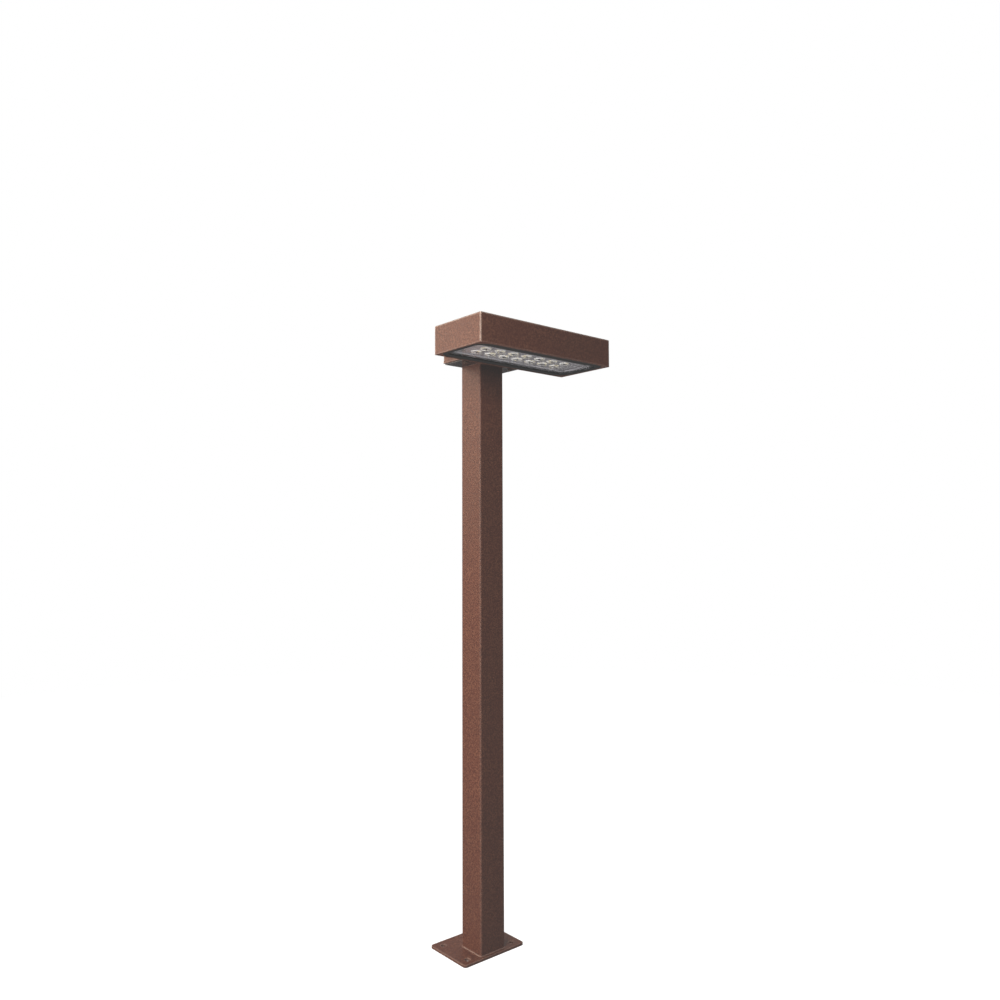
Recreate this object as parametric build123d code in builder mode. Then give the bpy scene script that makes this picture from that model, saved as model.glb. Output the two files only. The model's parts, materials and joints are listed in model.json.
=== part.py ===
from build123d import *
from math import pi, radians, tan
import os

# Bollard light: square post on a foot plate, with a connection box and a flat LED head on top.
# Origin: centre of the cable hole in the foot's underside, on the post's axis.
# +Z is up, -Y is the side that the head reaches out to, X runs across. Millimetres.

os.makedirs("parts", exist_ok=True)

# ---- driving dimensions: post and foot ----
post_size = 50.0
post_wall = 2.5
post_corner_r = 2.5
foot_width = 124.0
foot_depth = 93.0
foot_front = 31.0            # from the post's axis to the foot's front edge
foot_thickness = 4.0
foot_corner_r = 5.5
foot_edge_r = 0.8
anchor_spacing_x = 92.0
anchor_spacing_y = 64.0
anchor_hole_d = 8.0
anchor_hole_bevel = 1.0
cable_hole_d = 30.0
weld_leg = 2.0
weld_nose = 0.3              # blunt tip that a bead keeps where it meets the post

# ---- driving dimensions: connection box ----
post_top_z = 963.0
box_width = 126.0
box_back = 25.0
box_front = -51.0
top_plate_thickness = 3.0
box_gasket_thickness = 1.0
box_top_z = 996.0
box_wall = 2.5
box_skirt_z = 964.4          # the hood's side walls reach down past the top plate's edges
plate_gap = 0.3
box_flange = 8.0             # inward lip at the box's open lower edge
box_flange_thickness = 2.0
plate_hole_d = 24.0
hood_screw_x = 48.0
hood_screw_y = -17.0
hood_tab_width = 13.0
hood_tab_depth = 14.0

# ---- driving dimensions: head ----
head_length = 275.0
head_depth = 113.0
head_back = -52.0
head_bottom_z = 955.0
head_top_z = 1000.0
head_wall = 2.5
head_edge_r = 1.4
rim_width = 3.0              # painted edge left round the glass gasket
rim_corner_r = 22.0
gasket_recess = 0.6
gasket_gap = 0.3
gasket_lip = 1.2             # black lip that covers the edge of the glass from below
gasket_seat = 0.5            # thin lip between the glass and the ledge
glass_length = 262.0
glass_depth = 100.0
glass_corner_r = 18.5
glass_thickness = 3.0
border_inner_length = 253.0
border_inner_depth = 81.0
border_inner_r = 10.0
border_offset_y = 2.0        # the black border is a little thinner at the back
ledge_thickness = 2.0
ledge_inner_length = 256.0
ledge_inner_depth = 85.0
ledge_inner_r = 11.0

# ---- driving dimensions: light unit ----
lens_pitch_x = 28.0
lens_pitch_y = 24.0
lens_columns = 7
lens_rows = 2
lens_offset_y = 8.0          # the lens rows sit a little behind the middle of the opening
lens_d = 18.0
lens_height = 3.0
lens_plate_length = 192.0
lens_plate_depth = 48.0
lens_plate_thickness = 2.0
panel_above_bottom = 7.1     # from the head's lower edge to the grey panel's face
panel_thickness = 1.0
panel_rim = 2.0              # height of the panel's turned-down edge
board_length = 216.0
board_depth = 64.0
board_thickness = 1.6
heat_plate_length = 246.0
heat_plate_depth = 81.0
heat_plate_thickness = 3.0
chip_size = 5.0
chip_thickness = 1.0

# ---- driving dimensions: driver, terminals and leads ----
driver_length = 100.0
driver_depth = 40.0
driver_height = 20.0
driver_x0 = -14.0            # input end
driver_ear = 7.0
terminal_pole_pitch = 9.0
terminal_poles = 3
terminal_depth = 20.0
terminal_height = 14.0
mains_lead_d = 2.4
led_lead_d = 1.8

# ---- driving dimensions: small features ----
bend_share = 0.45            # share of the shorter run that a bend of a lead takes up
box_corner_r = 1.5
plate_grommet_lip = 1.0
plate_grommet_rim = 2.0
plate_grommet_wall = 4.0
flange_end_gap = 0.5
box_roof_edge_r = 1.2
hood_head_edge_r = 1.5
hex_key = 3.0                # across flats, of the key for the hood screws and head bolts
hood_key_depth = 1.8
terminal_screw_y = 5.5       # from the block's centre line
terminal_chamfer = 2.5
terminal_wire_hole_r = 1.6
terminal_screw_hole_r = 1.8
terminal_screw_hole = 4.0    # depth
terminal_fixing_hole_r = 1.3
terminal_screw_r = 1.7
terminal_screw_length = 2.4
terminal_slot_length = 4.0
terminal_slot = 0.6
terminal_slot_depth = 0.8
terminal_fixing_r = 1.25
terminal_fixing_head_r = 2.2
terminal_fixing_head = 1.5
earth_stud_chamfer = 0.6
earth_nut_across_flats = 7.0
earth_nut_height = 3.2
lug_eye_r = 4.4
lug_neck_width = 3.2
lug_eye_gap = 0.15
seal_inset = 1.5
seal_corner_r = 1.0
bolt_head_edge_r = 1.6
bolt_key_depth = 1.7
wire_grommet_rim = 2.0
wire_grommet_wall = 2.5
glass_edge_chamfer = 0.3
lens_gap = 0.4               # between a lens and the panel's hole
panel_screw_gap = 0.15
lens_plate_corner_r = 4.0
chip_hollow_r = 4.2          # hollow in the lens plate over each chip
chip_hollow = 1.3            # its depth
heat_plate_corner_r = 12.0
plate_screw_gap = 0.2
spacer_r = 3.0
spacer_gap = 0.1
panel_screw_edge_r = 0.9
cross_length = 3.2           # cross recess of the panel screws
cross_width = 0.7
cross_depth = 0.9
plate_screw_edge_r = 1.2
plate_screw_reach = 8.0      # into the standoffs
driver_corner_r = 3.0
driver_edge_r = 1.5
driver_hole_gap = 0.3
panel_gap = 1.0              # between the panel and the ledge

# ---- values that follow from them ----
foot_centre_y = foot_depth / 2 - foot_front
post_bore = post_size - 2 * post_wall
top_plate_z = post_top_z + top_plate_thickness
box_bottom_z = top_plate_z + box_gasket_thickness
box_depth = box_back - box_front
box_centre_y = (box_back + box_front) / 2
box_height = box_top_z - box_bottom_z
box_inner_width = box_width - 2 * box_wall
box_inner_depth = box_depth - 2 * box_wall
top_plate_width = box_inner_width - 2 * plate_gap
flange_top_z = box_bottom_z + box_flange_thickness

head_centre_y = head_back - head_depth / 2
head_height = head_top_z - head_bottom_z
gasket_z = head_bottom_z + gasket_recess
glass_z = gasket_z + gasket_lip
seat_z = glass_z + glass_thickness
ledge_z = seat_z + gasket_seat
cavity_z = ledge_z + ledge_thickness
head_roof_z = head_top_z - head_wall
recess_length = head_length - 2 * rim_width
recess_depth = head_depth - 2 * rim_width

panel_z = head_bottom_z + panel_above_bottom
panel_length = ledge_inner_length - 2 * panel_gap
panel_depth = ledge_inner_depth - 2 * panel_gap
panel_corner_r = ledge_inner_r - panel_gap
lens_plate_z = panel_z + panel_thickness
board_z = lens_plate_z + lens_plate_thickness
heat_plate_z = board_z + board_thickness
driver_z = heat_plate_z + heat_plate_thickness
light_centre = (0, head_centre_y)
lens_centre = (0, head_centre_y + lens_offset_y)
lens_sphere_r = (lens_d ** 2 / 4 + lens_height ** 2) / (2 * lens_height)

# ---- fixings ----
hood_screw_shank_r = 2.5
hood_hole_r = 2.75
hood_screw_head_r = 4.0
hood_screw_head = 2.6
nut_height = 4.0
nut_across_flats = 8.0
hood_screw_tip_z = 977.0
head_bolt_x = 50.0
head_bolt_z = (975.0, 988.0)
head_bolt_r = 2.5
head_bolt_hole_r = 2.75
head_bolt_head_r = 4.6
head_bolt_head = 2.8
head_bolt_tip_y = -62.0
washer_r = 5.0
washer_thickness = 1.0
thread_gap = 0.05
wire_x = -30.0
wire_z = 981.5
wire_hole_r = 7.0
standoff_x = 114.0
standoff_y = 32.0
standoff_across_flats = 7.0
plate_screw_r = 2.0
plate_screw_head_r = 3.8
plate_screw_head = 2.2
panel_screw_x = 104.0
panel_screw_y = 26.0
panel_screw_r = 1.5
panel_screw_head_r = 2.75
panel_screw_head = 1.6
terminal_x = -30.0
terminal_front = -6.0
terminal_wire_z = top_plate_z + 8.0
earth_x = 38.0
earth_y = 4.0
earth_stud_r = 2.0

hood_screw_points = [(-hood_screw_x, hood_screw_y), (hood_screw_x, hood_screw_y)]
head_bolt_points = [(x, z) for x in (-head_bolt_x, head_bolt_x) for z in head_bolt_z]
standoff_points = [
    (x, head_centre_y + y) for x in (-standoff_x, standoff_x) for y in (-standoff_y, standoff_y)
]
panel_screw_points = [
    (x, head_centre_y + y) for x in (-panel_screw_x, panel_screw_x) for y in (-panel_screw_y, panel_screw_y)
]
driver_ear_xs = (driver_x0 - driver_ear / 2, driver_x0 + driver_length + driver_ear / 2)
driver_screw_points = [(x, head_centre_y) for x in driver_ear_xs]
led_lead_hole = (102.0, head_centre_y)
led_lead_hole_r = 3.0


def facing_front(y):
    """Plane at depth y whose sketch X is the model's X, sketch Y is the model's Z, normal towards -Y."""
    return Plane(origin=(0, y, 0), x_dir=(1, 0, 0), z_dir=(0, -1, 0))


def lead(points, radii, diameter):
    """Round lead along straight runs joined by tangent arcs."""
    with BuildPart() as lead_part:
        with BuildLine() as route:
            FilletPolyline(*points, radius=radii)
        with BuildSketch(Plane(origin=points[0], z_dir=Vector(*points[1]) - Vector(*points[0]))):
            Circle(diameter / 2)
        sweep(path=route.line)
    return lead_part.part


def corner_radii(points):
    """Largest arc that each corner's two runs allow."""
    radii = []
    for before, corner, after in zip(points, points[1:], points[2:]):
        run_in = Vector(*corner) - Vector(*before)
        run_out = Vector(*after) - Vector(*corner)
        turn = run_in.get_angle(run_out)
        radii.append(bend_share * min(run_in.length, run_out.length) / tan(radians(turn / 2)))
    return radii


# ======================= foot and post =======================

with BuildPart() as base_plate:
    with BuildSketch():
        with Locations((0, foot_centre_y)):
            RectangleRounded(foot_width, foot_depth, foot_corner_r)
            with GridLocations(anchor_spacing_x, anchor_spacing_y, 2, 2):
                Circle(anchor_hole_d / 2, mode=Mode.SUBTRACT)
        Circle(cable_hole_d / 2, mode=Mode.SUBTRACT)
    extrude(amount=foot_thickness)
    foot_top = base_plate.faces().sort_by(Axis.Z)[-1]
    hole_rims = [rim.edge() for rim in foot_top.inner_wires() if rim.length < pi * cable_hole_d / 2]
    fillet(foot_top.outer_wire().edges(), foot_edge_r)
    chamfer(hole_rims, anchor_hole_bevel)
base_plate.part.label = "base_plate"
export_step(base_plate.part, "parts/base_plate.step")

with BuildPart() as base_weld:
    with BuildSketch(Plane.XY.offset(foot_thickness)):
        RectangleRounded(post_size + 2 * weld_leg, post_size + 2 * weld_leg, post_corner_r + weld_leg)
    extrude(amount=weld_leg - weld_nose, taper=45)
    with BuildSketch(Plane.XY.offset(foot_thickness)):
        RectangleRounded(post_size, post_size, post_corner_r)
    extrude(amount=weld_leg, mode=Mode.SUBTRACT)
base_weld.part.label = "base_weld"
export_step(base_weld.part, "parts/base_weld.step")

with BuildPart() as post:
    with BuildSketch(Plane.XY.offset(foot_thickness)):
        RectangleRounded(post_size, post_size, post_corner_r)
        RectangleRounded(post_bore, post_bore, post_corner_r / 2, mode=Mode.SUBTRACT)
    extrude(amount=post_top_z - foot_thickness)
post.part.label = "post"
export_step(post.part, "parts/post.step")

# The post's back is flush with the plate's back edge, so the upper bead has three sides.
with BuildPart() as post_top_weld:
    with BuildSketch(Plane(origin=(0, 0, post_top_z), z_dir=(0, 0, -1))):
        RectangleRounded(post_size + 2 * weld_leg, post_size + 2 * weld_leg, post_corner_r + weld_leg)
    extrude(amount=weld_leg - weld_nose, taper=45)
    with BuildSketch(Plane.XY.offset(post_top_z - weld_leg)):
        RectangleRounded(post_size, post_size, post_corner_r)
        with Locations((0, box_back)):
            Rectangle(post_size + 4 * weld_leg, 2 * weld_leg)
    extrude(amount=weld_leg, mode=Mode.SUBTRACT)
post_top_weld.part.label = "post_top_weld"
export_step(post_top_weld.part, "parts/post_top_weld.step")

# ======================= connection box =======================

with BuildPart() as top_plate:
    with BuildSketch(Plane.XY.offset(post_top_z)):
        with Locations((0, box_centre_y)):
            RectangleRounded(top_plate_width, box_depth, box_corner_r)
        Circle(plate_hole_d / 2, mode=Mode.SUBTRACT)
        with Locations(hood_screw_points):
            Circle(hood_hole_r, mode=Mode.SUBTRACT)
    extrude(amount=top_plate_thickness)
top_plate.part.label = "top_plate"
export_step(top_plate.part, "parts/top_plate.step")

with BuildPart() as plate_grommet:
    with BuildSketch(Plane.XY.offset(post_top_z - plate_grommet_lip)):
        Circle(plate_hole_d / 2 + plate_grommet_rim)
    extrude(amount=1)
    with BuildSketch(Plane.XY.offset(post_top_z)):
        Circle(plate_hole_d / 2)
    extrude(amount=top_plate_thickness)
    with BuildSketch(Plane.XY.offset(top_plate_z)):
        Circle(plate_hole_d / 2 + plate_grommet_rim)
    extrude(amount=1)
    with BuildSketch(Plane.XY.offset(post_top_z - plate_grommet_lip)):
        Circle(plate_hole_d / 2 - plate_grommet_wall)
    extrude(amount=top_plate_thickness + 2 * plate_grommet_lip, mode=Mode.SUBTRACT)
plate_grommet.part.label = "plate_grommet"
export_step(plate_grommet.part, "parts/plate_grommet.step")


def flange_sketch(side_gap, end_gap):
    """Lip round the box's open lower edge, with an ear for each hood screw."""
    ear_width = box_width / 2 - side_gap - (hood_screw_x - hood_tab_width / 2)
    with BuildSketch() as lip:
        with Locations((0, box_centre_y)):
            Rectangle(box_width - 2 * side_gap, box_depth - 2 * end_gap)
            Rectangle(
                box_inner_width - 2 * box_flange, box_inner_depth - 2 * box_flange, mode=Mode.SUBTRACT
            )
        for side in (-1, 1):
            with Locations((side * (box_width / 2 - side_gap - ear_width / 2), hood_screw_y)):
                Rectangle(ear_width, hood_tab_depth)
        with Locations(hood_screw_points):
            Circle(hood_hole_r, mode=Mode.SUBTRACT)
    return lip.sketch


with BuildPart() as box_gasket:
    with BuildSketch(Plane.XY.offset(top_plate_z)):
        add(flange_sketch(box_wall + plate_gap, flange_end_gap))
    extrude(amount=box_gasket_thickness)
box_gasket.part.label = "box_gasket"
export_step(box_gasket.part, "parts/box_gasket.step")

with BuildPart() as head_bracket:
    with BuildSketch(Plane.XY.offset(box_bottom_z)):
        with Locations((0, box_centre_y)):
            RectangleRounded(box_width, box_depth, box_corner_r)
    extrude(amount=box_height)
    fillet(head_bracket.faces().sort_by(Axis.Z)[-1].edges(), box_roof_edge_r)
    with BuildSketch(Plane.XY.offset(box_bottom_z)):
        with Locations((0, box_centre_y)):
            Rectangle(box_inner_width, box_inner_depth)
    extrude(amount=box_height - box_wall, mode=Mode.SUBTRACT)
    with BuildSketch(Plane.XY.offset(box_bottom_z)):
        add(flange_sketch(box_wall / 2, box_wall / 2))
    extrude(amount=box_flange_thickness)
    with BuildSketch(Plane.XY.offset(box_skirt_z)):
        for side in (-1, 1):
            with Locations((side * (box_width - box_wall) / 2, box_centre_y)):
                Rectangle(box_wall, box_depth)
    extrude(amount=flange_top_z - box_skirt_z)
    with BuildSketch(facing_front(box_front + box_wall)):
        with Locations(head_bolt_points):
            Circle(head_bolt_hole_r)
        with Locations((wire_x, wire_z)):
            Circle(wire_hole_r)
    extrude(amount=box_wall, mode=Mode.SUBTRACT)
head_bracket.part.label = "head_bracket"
export_step(head_bracket.part, "parts/head_bracket.step")

with BuildPart() as hood_nuts:
    with BuildSketch(Plane.XY.offset(flange_top_z)):
        with Locations(hood_screw_points):
            RegularPolygon(nut_across_flats / 2, 6, major_radius=False)
            Circle(hood_screw_shank_r + thread_gap, mode=Mode.SUBTRACT)
    extrude(amount=nut_height)
hood_nuts.part.label = "hood_nuts"
export_step(hood_nuts.part, "parts/hood_nuts.step")

with BuildPart() as hood_screws:
    with BuildSketch(Plane.XY.offset(post_top_z - hood_screw_head)):
        with Locations(hood_screw_points):
            Circle(hood_screw_head_r)
    extrude(amount=hood_screw_head)
    head_rims = hood_screws.faces().sort_by(Axis.Z)[:2].edges()
    fillet(head_rims, hood_head_edge_r)
    with BuildSketch(Plane.XY.offset(post_top_z)):
        with Locations(hood_screw_points):
            Circle(hood_screw_shank_r)
    extrude(amount=hood_screw_tip_z - post_top_z)
    with BuildSketch(Plane.XY.offset(post_top_z - hood_screw_head)):
        with Locations(hood_screw_points):
            RegularPolygon(hex_key / 2, 6, major_radius=False)
    extrude(amount=hood_key_depth, mode=Mode.SUBTRACT)
hood_screws.part.label = "hood_screws"
export_step(hood_screws.part, "parts/hood_screws.step")

# ======================= terminals and earth =======================

terminal_length = terminal_poles * terminal_pole_pitch
terminal_centre_y = terminal_front + terminal_depth / 2
terminal_pole_xs = [terminal_x + terminal_pole_pitch * (pole - 1) for pole in range(terminal_poles)]
terminal_screw_top_z = top_plate_z + terminal_height - terminal_screw_hole + terminal_screw_length
terminal_clamp_points = [
    (x, terminal_centre_y + side * terminal_screw_y) for x in terminal_pole_xs for side in (-1, 1)
]
terminal_fixing_points = [
    (terminal_x + side * terminal_pole_pitch / 2, terminal_centre_y) for side in (-1, 1)
]

with BuildPart() as terminal_block:
    with BuildSketch(Plane.XY.offset(top_plate_z)):
        with Locations((terminal_x, terminal_centre_y)):
            Rectangle(terminal_length, terminal_depth)
    extrude(amount=terminal_height)
    top_edges = terminal_block.faces().sort_by(Axis.Z)[-1].edges().filter_by(Axis.X)
    chamfer(top_edges, terminal_chamfer)
    with BuildSketch(facing_front(terminal_front + terminal_depth)):
        with Locations([(x, terminal_wire_z) for x in terminal_pole_xs]):
            Circle(terminal_wire_hole_r)
    extrude(amount=terminal_depth, mode=Mode.SUBTRACT)
    with BuildSketch(Plane.XY.offset(top_plate_z + terminal_height)):
        with Locations(terminal_clamp_points):
            Circle(terminal_screw_hole_r)
    extrude(amount=-terminal_screw_hole, mode=Mode.SUBTRACT)
    with BuildSketch(Plane.XY.offset(top_plate_z)):
        with Locations(terminal_fixing_points):
            Circle(terminal_fixing_hole_r)
    extrude(amount=terminal_height, mode=Mode.SUBTRACT)
terminal_block.part.label = "terminal_block"
export_step(terminal_block.part, "parts/terminal_block.step")

with BuildPart() as terminal_clamps:
    with BuildSketch(Plane.XY.offset(top_plate_z + terminal_height - terminal_screw_hole)):
        with Locations(terminal_clamp_points):
            Circle(terminal_screw_r)
    extrude(amount=terminal_screw_length)
    with BuildSketch(Plane.XY.offset(terminal_screw_top_z)):
        with Locations(terminal_clamp_points):
            Rectangle(terminal_slot_length, terminal_slot)
    extrude(amount=-terminal_slot_depth, mode=Mode.SUBTRACT)
terminal_clamps.part.label = "terminal_clamps"
export_step(terminal_clamps.part, "parts/terminal_clamps.step")

with BuildPart() as terminal_fixings:
    with BuildSketch(Plane.XY.offset(top_plate_z)):
        with Locations(terminal_fixing_points):
            Circle(terminal_fixing_r)
    extrude(amount=terminal_height)
    with BuildSketch(Plane.XY.offset(top_plate_z + terminal_height)):
        with Locations(terminal_fixing_points):
            Circle(terminal_fixing_head_r)
    extrude(amount=terminal_fixing_head)
terminal_fixings.part.label = "terminal_fixings"
export_step(terminal_fixings.part, "parts/terminal_fixings.step")

lug_thickness = 1.0
earth_nut_z = top_plate_z + lug_thickness

with BuildPart() as earth_stud:
    with BuildSketch(Plane.XY.offset(top_plate_z)):
        with Locations((earth_x, earth_y)):
            Circle(earth_stud_r)
    extrude(amount=11)
    chamfer(earth_stud.faces().sort_by(Axis.Z)[-1].edges(), earth_stud_chamfer)
earth_stud.part.label = "earth_stud"
export_step(earth_stud.part, "parts/earth_stud.step")

with BuildPart() as earth_nut:
    with BuildSketch(Plane.XY.offset(earth_nut_z)):
        with Locations((earth_x, earth_y)):
            RegularPolygon(earth_nut_across_flats / 2, 6, major_radius=False)
            Circle(earth_stud_r + thread_gap, mode=Mode.SUBTRACT)
    extrude(amount=earth_nut_height)
earth_nut.part.label = "earth_nut"
export_step(earth_nut.part, "parts/earth_nut.step")

lug_barrel_y = -5.0
lug_barrel_end = -12.0
lug_barrel_r = 1.9
lug_barrel_z = top_plate_z + lug_barrel_r

with BuildPart() as earth_lug:
    with BuildSketch(Plane.XY.offset(top_plate_z)):
        with Locations((earth_x, earth_y)):
            Circle(lug_eye_r)
        with Locations((earth_x, (earth_y + lug_barrel_y) / 2)):
            Rectangle(lug_neck_width, earth_y - lug_barrel_y)
        with Locations((earth_x, earth_y)):
            Circle(earth_stud_r + lug_eye_gap, mode=Mode.SUBTRACT)
    extrude(amount=lug_thickness)
    with BuildSketch(facing_front(lug_barrel_y)):
        with Locations((earth_x, lug_barrel_z)):
            Circle(lug_barrel_r)
            Circle(mains_lead_d / 2 + thread_gap, mode=Mode.SUBTRACT)
    extrude(amount=lug_barrel_y - lug_barrel_end)
earth_lug.part.label = "earth_lug"
export_step(earth_lug.part, "parts/earth_lug.step")

earth_route = [
    (terminal_pole_xs[2], terminal_front + 4, terminal_wire_z),
    (terminal_pole_xs[2], -28.0, terminal_wire_z),
    (earth_x, -31.0, lug_barrel_z),
    (earth_x, lug_barrel_end + 4, lug_barrel_z),
]
earth_lead = lead(earth_route, corner_radii(earth_route), mains_lead_d)
earth_lead.label = "earth_lead"
export_step(earth_lead, "parts/earth_lead.step")

# ======================= joint between box and head =======================

with BuildPart() as head_seal:
    with BuildSketch(facing_front(box_front)):
        with Locations((0, (box_bottom_z + box_top_z) / 2)):
            RectangleRounded(box_width - 2 * seal_inset, box_height - 2 * seal_inset, seal_corner_r)
        with Locations(head_bolt_points):
            Circle(head_bolt_hole_r, mode=Mode.SUBTRACT)
        with Locations((wire_x, wire_z)):
            Circle(wire_hole_r, mode=Mode.SUBTRACT)
    extrude(amount=box_front - head_back)
head_seal.part.label = "head_seal"
export_step(head_seal.part, "parts/head_seal.step")

box_inner_front = box_front + box_wall
head_inner_back = head_back - head_wall

with BuildPart() as head_bolts:
    with BuildSketch(facing_front(box_inner_front + head_bolt_head)):
        with Locations(head_bolt_points):
            Circle(head_bolt_head_r)
    extrude(amount=head_bolt_head)
    fillet(head_bolts.faces().sort_by(Axis.Y)[-4:].edges(), bolt_head_edge_r)
    with BuildSketch(facing_front(box_inner_front)):
        with Locations(head_bolt_points):
            Circle(head_bolt_r)
    extrude(amount=box_inner_front - head_bolt_tip_y)
    with BuildSketch(facing_front(box_inner_front + head_bolt_head)):
        with Locations(head_bolt_points):
            RegularPolygon(hex_key / 2, 6, major_radius=False)
    extrude(amount=bolt_key_depth, mode=Mode.SUBTRACT)
head_bolts.part.label = "head_bolts"
export_step(head_bolts.part, "parts/head_bolts.step")

with BuildPart() as head_washers:
    with BuildSketch(facing_front(head_inner_back)):
        with Locations(head_bolt_points):
            Circle(washer_r)
            Circle(head_bolt_hole_r, mode=Mode.SUBTRACT)
    extrude(amount=washer_thickness)
head_washers.part.label = "head_washers"
export_step(head_washers.part, "parts/head_washers.step")

with BuildPart() as head_nuts:
    with BuildSketch(facing_front(head_inner_back - washer_thickness)):
        with Locations(head_bolt_points):
            RegularPolygon(nut_across_flats / 2, 6, major_radius=False)
            Circle(head_bolt_r + thread_gap, mode=Mode.SUBTRACT)
    extrude(amount=nut_height)
head_nuts.part.label = "head_nuts"
export_step(head_nuts.part, "parts/head_nuts.step")

grommet_flange = 1.5
grommet_length = box_inner_front - head_inner_back

with BuildPart() as wire_grommet:
    with BuildSketch(facing_front(box_inner_front + grommet_flange)):
        with Locations((wire_x, wire_z)):
            Circle(wire_hole_r + wire_grommet_rim)
    extrude(amount=grommet_flange)
    with BuildSketch(facing_front(box_inner_front)):
        with Locations((wire_x, wire_z)):
            Circle(wire_hole_r)
    extrude(amount=grommet_length)
    with BuildSketch(facing_front(head_inner_back)):
        with Locations((wire_x, wire_z)):
            Circle(wire_hole_r + wire_grommet_rim)
    extrude(amount=grommet_flange)
    with BuildSketch(facing_front(box_inner_front + grommet_flange)):
        with Locations((wire_x, wire_z)):
            Circle(wire_hole_r - wire_grommet_wall)
    extrude(amount=grommet_length + 2 * grommet_flange, mode=Mode.SUBTRACT)
wire_grommet.part.label = "wire_grommet"
export_step(wire_grommet.part, "parts/wire_grommet.step")

# ======================= head =======================

with BuildPart() as head_housing:
    with BuildSketch(Plane.XY.offset(head_bottom_z)):
        with Locations(light_centre):
            Rectangle(head_length, head_depth)
    extrude(amount=head_height)
    outer_edges = head_housing.edges().filter_by(Axis.Z) + head_housing.faces().sort_by(Axis.Z)[-1].edges()
    fillet(outer_edges, head_edge_r)
    with BuildSketch(Plane.XY.offset(head_bottom_z)):
        with Locations(light_centre):
            RectangleRounded(recess_length, recess_depth, rim_corner_r)
    extrude(amount=ledge_z - head_bottom_z, mode=Mode.SUBTRACT)
    with BuildSketch(Plane.XY.offset(ledge_z)):
        with Locations(light_centre):
            RectangleRounded(ledge_inner_length, ledge_inner_depth, ledge_inner_r)
    extrude(amount=ledge_thickness, mode=Mode.SUBTRACT)
    with BuildSketch(Plane.XY.offset(cavity_z)):
        with Locations(light_centre):
            Rectangle(head_length - 2 * head_wall, head_depth - 2 * head_wall)
    extrude(amount=head_roof_z - cavity_z, mode=Mode.SUBTRACT)
    with BuildSketch(facing_front(head_back)):
        with Locations(head_bolt_points):
            Circle(head_bolt_hole_r)
        with Locations((wire_x, wire_z)):
            Circle(wire_hole_r)
    extrude(amount=head_wall, mode=Mode.SUBTRACT)
head_housing.part.label = "head_housing"
export_step(head_housing.part, "parts/head_housing.step")

with BuildPart() as glass:
    with BuildSketch(Plane.XY.offset(glass_z)):
        with Locations(light_centre):
            RectangleRounded(glass_length, glass_depth, glass_corner_r)
    extrude(amount=glass_thickness)
    chamfer(glass.faces().sort_by(Axis.Z)[0].edges(), glass_edge_chamfer)
glass.part.label = "glass"
export_step(glass.part, "parts/glass.step")

with BuildPart() as glass_gasket:
    with BuildSketch(Plane.XY.offset(gasket_z)):
        with Locations(light_centre):
            RectangleRounded(
                recess_length - 2 * gasket_gap, recess_depth - 2 * gasket_gap, rim_corner_r - gasket_gap
            )
    extrude(amount=ledge_z - gasket_z)
    with BuildSketch(Plane.XY.offset(gasket_z)):
        with Locations((0, head_centre_y + border_offset_y)):
            RectangleRounded(border_inner_length, border_inner_depth, border_inner_r)
    extrude(amount=gasket_lip, mode=Mode.SUBTRACT)
    with BuildSketch(Plane.XY.offset(glass_z)):
        with Locations(light_centre):
            RectangleRounded(glass_length, glass_depth, glass_corner_r)
    extrude(amount=glass_thickness, mode=Mode.SUBTRACT)
    with BuildSketch(Plane.XY.offset(seat_z)):
        with Locations(light_centre):
            RectangleRounded(ledge_inner_length, ledge_inner_depth, ledge_inner_r)
    extrude(amount=gasket_seat, mode=Mode.SUBTRACT)
glass_gasket.part.label = "glass_gasket"
export_step(glass_gasket.part, "parts/glass_gasket.step")

# ======================= light unit =======================

with BuildPart() as reflector_panel:
    with BuildSketch(Plane.XY.offset(panel_z - panel_rim)):
        with Locations(light_centre):
            RectangleRounded(panel_length, panel_depth, panel_corner_r)
    extrude(amount=panel_rim + panel_thickness)
    with BuildSketch(Plane.XY.offset(panel_z - panel_rim)):
        with Locations(light_centre):
            RectangleRounded(
                panel_length - 2 * panel_thickness,
                panel_depth - 2 * panel_thickness,
                panel_corner_r - panel_thickness,
            )
    extrude(amount=panel_rim, mode=Mode.SUBTRACT)
    with BuildSketch(Plane.XY.offset(panel_z)):
        with Locations(lens_centre):
            with GridLocations(lens_pitch_x, lens_pitch_y, lens_columns, lens_rows):
                Circle(lens_d / 2 + lens_gap)
        with Locations(panel_screw_points):
            Circle(panel_screw_r + panel_screw_gap)
    extrude(amount=panel_thickness, mode=Mode.SUBTRACT)
reflector_panel.part.label = "reflector_panel"
export_step(reflector_panel.part, "parts/reflector_panel.step")

with BuildPart() as lens_dome:
    with Locations((0, 0, lens_sphere_r - lens_height)):
        Sphere(lens_sphere_r)
    split(bisect_by=Plane.XY, keep=Keep.BOTTOM)

with BuildPart() as lens_array:
    with BuildSketch(Plane.XY.offset(lens_plate_z)):
        with Locations(lens_centre):
            RectangleRounded(lens_plate_length, lens_plate_depth, lens_plate_corner_r)
    extrude(amount=lens_plate_thickness)
    with Locations((0, head_centre_y + lens_offset_y, lens_plate_z)):
        with GridLocations(lens_pitch_x, lens_pitch_y, lens_columns, lens_rows):
            add(lens_dome.part)
    with BuildSketch(Plane.XY.offset(board_z)):
        with Locations(lens_centre):
            with GridLocations(lens_pitch_x, lens_pitch_y, lens_columns, lens_rows):
                Circle(chip_hollow_r)
    extrude(amount=-chip_hollow, mode=Mode.SUBTRACT)
lens_array.part.label = "lens_array"
export_step(lens_array.part, "parts/lens_array.step")

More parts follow.
